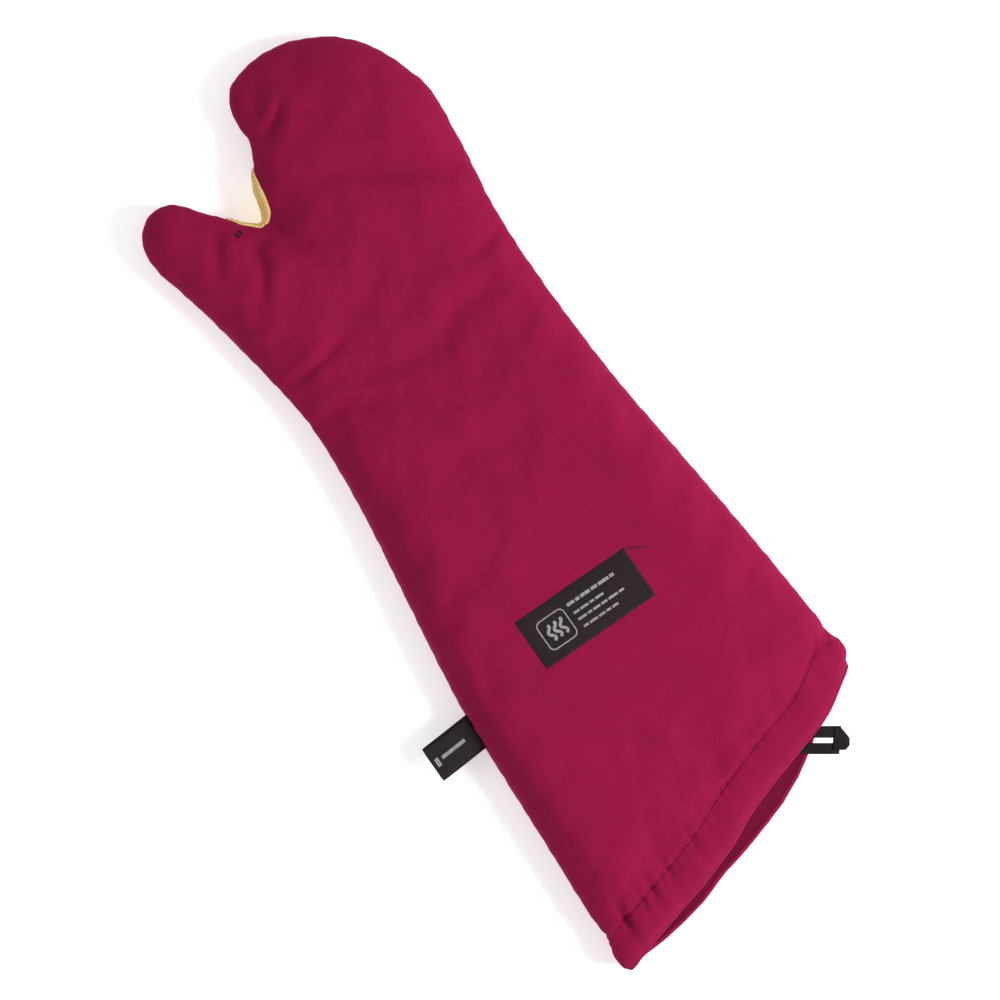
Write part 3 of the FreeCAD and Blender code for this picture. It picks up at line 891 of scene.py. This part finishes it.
# close dark stitches that hold the guard's end beside the thumb
tack = {"middle": (-52.8, 516.0), "turn": 10, "count": 4, "long": 5.6, "apart": 0.85,
        "stitch": {"length": 2.6, "gap": 0.3, "thick": 0.36}}


def barTack():
    turn = math.radians(tack["turn"])
    ahead, aside = np.array([math.cos(turn), math.sin(turn)]), np.array([-math.sin(turn), math.cos(turn)])
    paths = []
    for k in range(tack["count"]):
        middle = np.array(tack["middle"]) + aside * (k - (tack["count"] - 1) / 2) * tack["apart"]
        spots = middle + np.linspace(-0.5, 0.5, 12)[:, None] * ahead * tack["long"]
        paths.append((skin(spots, 1), skinNormals(spots, 1)))
    return stitchRow("guardTack", paths, tack["stitch"])


dress(barTack(), "tackThread", thumbBend)
print("guard made")


# woven label with a plain heat sign and plain bars
def onLabel(points, lift):
    # label-plan places (from the label's middle) laid on the cloth
    spots = np.asarray(points, float) + labelPlan["middle"]
    smooth = skin(spots, 1)
    return smooth + skinNormals(spots, 1, 2.5) * lift


# the label's sheet: columns and rows of points, its turned rim and the groove at its stitching
labelForm = {"columns": 61, "rows": 29, "low": 0.15, "rise": 0.75, "groove": 0.30, "grooveAt": 2.6,
             "worn": 1.2}


def labelSheet():
    half = np.array(labelPlan["size"]) / 2
    gx, gy = np.meshgrid(np.linspace(-1, 1, labelForm["columns"]), np.linspace(-1, 1, labelForm["rows"]))
    gx, gy = gx.ravel(), gy.ravel()
    flat = np.column_stack([gx * half[0], gy * half[1]])
    near = np.minimum((1 - np.abs(gx)) * half[0], (1 - np.abs(gy)) * half[1])
    groove = labelForm["groove"] * np.exp(-((near - labelForm["grooveAt"]) / 0.7)**2)
    lift = labelForm["low"] + labelForm["rise"] * np.clip(near, 0, 1)**0.5 - groove
    faces = gridFaces(labelForm["rows"], labelForm["columns"], False)
    wear = np.where(near < labelForm["worn"], 0.5, 0.0)
    return makePiece("label", onLabel(flat, lift[:, None]), faces, flat / 1000, None, wear)


labelPiece = labelSheet()
dress(labelPiece, "label", "sleeve", ["label"])


def ribbonOn(places, width, lift):
    # a narrow woven line along label places, a little lower at its edges
    line = smoothLine(places, 0.5)
    out = lineFacts(line)[1]
    cuts = (-0.5, -0.2, 0.2, 0.5)
    rows = [line + out * width * k for k in cuts]
    raised = [onLabel(row, lift - 0.06 * abs(k) * 2) for row, k in zip(rows, cuts)]
    return np.vstack(raised), gridFaces(len(cuts), len(line), False), np.vstack(rows) / 1000


labelMarks = {
    # rows of plain dashes: left end, middle height, thickness, lengths; then a heat sign in a rounded frame
    "rows": [(-8, 7.9, 2.1, [5.2, 3.1, 6.8, 4.4, 7.6, 3.0]), (-7.2, 1.6, 1.5, [4.1, 5.9, 3.2, 6.0]),
             (-7, -3.2, 1.5, [6.2, 3.0, 5.1, 4.4, 6.9, 3.6]), (-6.6, -8.6, 1.5, [3.4, 6.1, 4.8, 3.1, 4.6])],
    "between": 0.9, "lift": 1.0, "sign": (-21.4, -0.6), "signHalf": 9.8, "corner": 3.4, "frameWidth": 0.8,
    "waves": (-4.4, 0.0, 4.4), "waveWidth": 1.9, "waveSwing": 1.4,
}


def labelPrint():
    verts, faces, pattern = [], [], []

    def add(places, width):
        base = sum(len(v) for v in verts)
        spots, partFaces, flat = ribbonOn(places, width, labelMarks["lift"])
        verts.append(spots)
        faces.extend(tuple(i + base for i in f) for f in partFaces)
        pattern.append(flat)

    for left, middle, thick, lengths in labelMarks["rows"]:
        for length in lengths:
            add([(left, middle), (left + length / 2, middle + 0.05), (left + length, middle)], thick)
            left += length + labelMarks["between"]
    cx, cy = labelMarks["sign"]
    half, corner = labelMarks["signHalf"], labelMarks["corner"]
    ring = []
    for quarter in range(4):
        for step in range(5):
            angle = math.radians(quarter * 90 + step * 22.5)
            mx = half - corner if quarter in (0, 3) else corner - half
            my = half - corner if quarter in (0, 1) else corner - half
            ring.append((cx + mx + corner * math.cos(angle), cy + my + corner * math.sin(angle)))
    add(ring + [ring[0]], labelMarks["frameWidth"])
    for offset in labelMarks["waves"]:
        wave = [(cx + offset + labelMarks["waveSwing"] * math.sin(k * 1.25), cy - 5.2 + k * 1.5)
                for k in range(8)]
        add(wave, labelMarks["waveWidth"])
    return makePiece("labelMarks", np.vstack(verts), faces, np.vstack(pattern))


dress(labelPrint(), "print", "sleeve")


labelStitch = {"inset": 2.6, "lift": 0.72, "stitch": {"length": 2.3, "gap": 0.55, "thick": 0.26}}


def labelFrame():
    x, y = np.array(labelPlan["size"]) / 2 - labelStitch["inset"]
    corners = [(-x, -y), (x, -y), (x, y), (-x, y), (-x, -y)]
    paths = []
    for (x1, y1), (x2, y2) in zip(corners, corners[1:]):
        spots = np.column_stack([np.linspace(x1, x2, 40), np.linspace(y1, y2, 40)])
        outward = skinNormals(spots + labelPlan["middle"], 1, 2.5)
        paths.append((onLabel(spots, labelStitch["lift"]), outward))
    return stitchRow("labelStitching", paths, labelStitch["stitch"])


dress(labelFrame(), "blackThread", "sleeve", ["label_thread"])


def tube(name, places, radius, sides=8):
    line = smoothLine(places, 0.4)
    ahead = unit(np.gradient(line, axis=0))
    side = unit(np.cross(ahead, (0, 0, 1)))
    up = np.cross(side, ahead)
    turns = [2 * math.pi * k / sides for k in range(sides)]
    rings = [line + (side * math.cos(turn) + up * math.sin(turn)) * radius for turn in turns]
    verts = np.stack(rings, axis=1).reshape(-1, 3)
    return makePiece(name, verts, tubeFaces(len(line), sides))


def threadEnd():
    # the end of the label's thread, left long at its top right corner
    plan = [(36, 15.5), (40.5, 16.5), (44.5, 14.2), (49, 12.2), (53.5, 9.0)]
    lift = (0.9, 1.0, 0.9, 1.2, 0.8)
    places = [onLabel([p], h)[0] for p, h in zip(plan, lift)]
    return tube("labelThreadEnd", places, 0.22)


dress(threadEnd(), "blackThread", "sleeve")
print("label made")


# woven tapes: a strip swept along its middle line
def tapeStrip(name, line, across, width, thick, columns=9):
    line = np.asarray(line, float)
    across = np.tile(np.asarray(across, float), (len(line), 1))
    up = unit(np.cross(unit(np.gradient(line, axis=0)), across))
    widths = np.broadcast_to(width, len(line))
    profile = [(k, thick / 2 * (1 - abs(k)**8)**0.5) for k in np.linspace(-1, 1, columns)]
    profile += [(k, -thick / 2 * (1 - abs(k)**8)**0.5) for k in np.linspace(1, -1, columns)[1:-1]]
    verts, pattern = [], []
    for p, a, u, w, wide in zip(line, across, up, walkAlong(line), widths):
        for x, z in profile:
            verts.append(p + a * x * wide / 2 + u * z)
            pattern.append((x * wide / 2 + (wide + 2 if z < 0 else 0), w))
    wear = [0.5 if abs(x) > 0.84 else 0.0 for x, z in profile] * len(line)
    faces = tubeFaces(len(line), len(profile))
    return makePiece(name, np.array(verts), faces, np.array(pattern) / 1000, None, wear)


tagLow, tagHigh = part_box("side_tag")
tagShape = {"width": (tagHigh.y - tagLow.y) * 1000, "ply": 0.55, "curl": 1.6, "droop": 1.2, "tuck": 2.2,
            "skew": 2.2, "lower": 1.6, "apart": 0.36, "past": 0.7, "foldRound": 0.6, "steps": 16}


def sideTag():
    # one tape, out from the seam, folded at its far end and back under itself
    root, end = toPlan(tagHigh)[0] + tagShape["tuck"], toPlan(tagLow)[0] + tagShape["past"]
    middle = (toPlan(tagLow)[1] + toPlan(tagHigh)[1]) / 2
    seamZ = (tagLow.z + tagHigh.z) * 500 - tagShape["lower"]
    apart, steps, skew = tagShape["apart"], tagShape["steps"], tagShape["skew"]

    def place(t, gap):
        lift = tagShape["curl"] * math.sin(t * 2.6) - tagShape["droop"] * t
        return (root + (end - root) * t, middle - skew * t, seamZ + gap + lift)

    line = [place(t, apart) for t in np.linspace(0, 1, steps)]
    highest = line[-1][2]
    for turn in (30, 60, 90, 120, 150):
        a = math.radians(turn)
        line.append((end - tagShape["foldRound"] * math.sin(a), middle - skew,
                     highest - apart + apart * math.cos(a)))
    line += [place(t, -apart) for t in np.linspace(1, 0, steps)]
    return tapeStrip("sideTag", line, (0.0, 1.0, 0.0), tagShape["width"], tagShape["ply"]), line


tagPiece, tagLine = sideTag()
tagBend = bendBetween("side_tag", "tag_flex", np.array([-1.0, 0.0]), -1.5, 7.0)
dress(tagPiece, "tag", tagBend, ["side_tag"])

# a plain bar and a plain block woven into the tag: from, to, and the lower and upper edge across it
tagMarkBars = [(4.2, 12, -1.0, 1.3), (13, 14.2, -3.4, 2.2)]


def tagMarks():
    verts, faces, pattern = [], [], []
    line = np.array(tagLine[:tagShape["steps"]])
    for first, last, low, high in tagMarkBars:
        base = len(verts)
        for c in along(line, np.arange(float(len(line))), np.linspace(first, last, 14)):
            for side in (low, high):
                verts.append(c + np.array([0, side, tagShape["ply"] / 2 + 0.06]))
                pattern.append((c[0], c[1] + side))
        faces += [(base + 2 * k, base + 2 * k + 1, base + 2 * k + 3, base + 2 * k + 2) for k in range(13)]
    return makePiece("tagMarks", np.array(verts), faces, np.array(pattern) / 1000)


dress(tagMarks(), "print", "side_tag")

# hanging loop: flat tape out, folded across at its tip, and back beside itself
loopJoint = foldJoints["loop_flex"]
loopShape = {"turn": -34.65, "thick": 0.9, "under": 6.5, "sag": 2.6, "rise": 1.8,
             # strands: how far across, width, where they start and end along the loop
             "strands": [(5.7, 7.4, -12.0, 23.0), (-4.7, 7.0, -9.0, 22.0)],
             # the folded tip: across, its near side and its far side along the loop
             "tip": [(9.2, 18.4, 22.4), (5.6, 18.2, 25.4), (2.0, 18.0, 28.3), (-2.6, 17.6, 28.3),
                     (-5.4, 17.2, 26.0)],
             "names": ("loopStrandA", "loopStrandB"), "lifts": (0.5, -0.3)}


loopTurn = math.radians(loopShape["turn"])
loopOut = np.array([math.cos(loopTurn), math.sin(loopTurn), 0])
loopAcross = np.array([-math.sin(loopTurn), math.cos(loopTurn), 0])


def hangingLoop():
    root = np.r_[toPlan(loopJoint["pos_m"]), loopJoint["pos_m"][2] * 1000 - loopShape["under"]]

    def place(s, t, lift):
        share = max(0.0, s / 28)
        high = lift + loopShape["rise"] * math.sin(share * 2.4) - loopShape["sag"] * share * share
        return root + loopOut * s + loopAcross * t + np.array([0, 0, high])

    pieces = []
    strands = zip(loopShape["names"], loopShape["strands"], loopShape["lifts"])
    for name, (t, wide, begin, end), lift in strands:
        line = [place(s, t, lift - 0.2 * (s - begin) / (end - begin)) for s in np.linspace(begin, end, 30)]
        pieces.append(tapeStrip(name, line, loopAcross, wide, loopShape["thick"]))
    tip = np.array(loopShape["tip"])
    ts = np.linspace(tip[0, 0], tip[-1, 0], 16)
    near, far = (np.interp(-ts, -tip[:, 0], tip[:, k]) for k in (1, 2))
    arch = 1 - np.abs(np.linspace(-1, 1, 16))**6
    fold = [place((n + f) / 2, t, 0.75 + 0.75 * h) for t, n, f, h in zip(ts, near, far, arch)]
    pieces.append(tapeStrip("loopFold", fold, -loopOut, far - near, loopShape["thick"]))
    return pieces


loopBend = bendBetween("hanging_loop", "loop_flex", loopOut[:2], -3.0, 12.0)
for piece in hangingLoop():
    moves = "hanging_loop" if piece.name == "loopFold" else loopBend
    dress(piece, "loop", moves, ["hanging_loop"])
print("tapes made")

# table, light and camera
studio = {"cameraHeight": 2.4, "viewWidth": 0.6224, "middle": (-13.1, 288.4), "turn": -34.65, "sensor": 36,
          "floorTone": 0.93, "floorGlow": 0.4, "worldLight": 0.55,
          # lamps: name, place, size, watts
          "lamps": [("keyLight", (1.15, -1.05, 1.3), 0.8, 38), ("fillLight", (-1.2, 0.9, 1.8), 1.6, 5)]}
white = (1, 1, 1, 1)


def makeStage():
    bpy.ops.mesh.primitive_plane_add(size=12)
    floor = bpy.context.object
    floor.name = "studioFloor"
    material = bpy.data.materials.new("studioFloor")
    material.use_nodes = True
    shader = material.node_tree.nodes["Principled BSDF"]
    shader.inputs["Base Color"].default_value = (*[studio["floorTone"]] * 3, 1)
    shader.inputs["Roughness"].default_value = 0.9
    shader.inputs["Emission Color"].default_value = white
    shader.inputs["Emission Strength"].default_value = studio["floorGlow"]
    floor.data.materials.append(material)
    floor.location.z = -0.0005
    world = bpy.data.worlds.new("studioWorld")
    world.use_nodes = True
    world.node_tree.nodes["Background"].inputs["Color"].default_value = white
    world.node_tree.nodes["Background"].inputs["Strength"].default_value = studio["worldLight"]
    bpy.context.scene.world = world


def makeLamp(name, place, size, watts):
    lamp = bpy.data.lights.new(name, "AREA")
    lamp.shape = "DISK"
    lamp.size = size
    lamp.energy = watts
    holder = bpy.data.objects.new(name, lamp)
    holder.location = place
    holder.rotation_euler = (-Vector(place)).to_track_quat("-Z", "Y").to_euler()
    bpy.context.scene.collection.objects.link(holder)


makeStage()
for lampFacts in studio["lamps"]:
    makeLamp(*lampFacts)

lens = bpy.data.cameras.new("camera")
camera = bpy.data.objects.new("camera", lens)
bpy.context.scene.collection.objects.link(camera)
middle = toFrame(np.array([*studio["middle"], 0.0]))
camera.location = (middle[0], middle[1], studio["cameraHeight"])
camera.rotation_euler = (0, 0, math.radians(studio["turn"]))
lens.sensor_width = studio["sensor"]
lens.lens = studio["sensor"] * (studio["cameraHeight"] - bodyTop / 2000) / studio["viewWidth"]
bpy.context.scene.camera = camera
bpy.context.scene.view_settings.view_transform = "Standard"
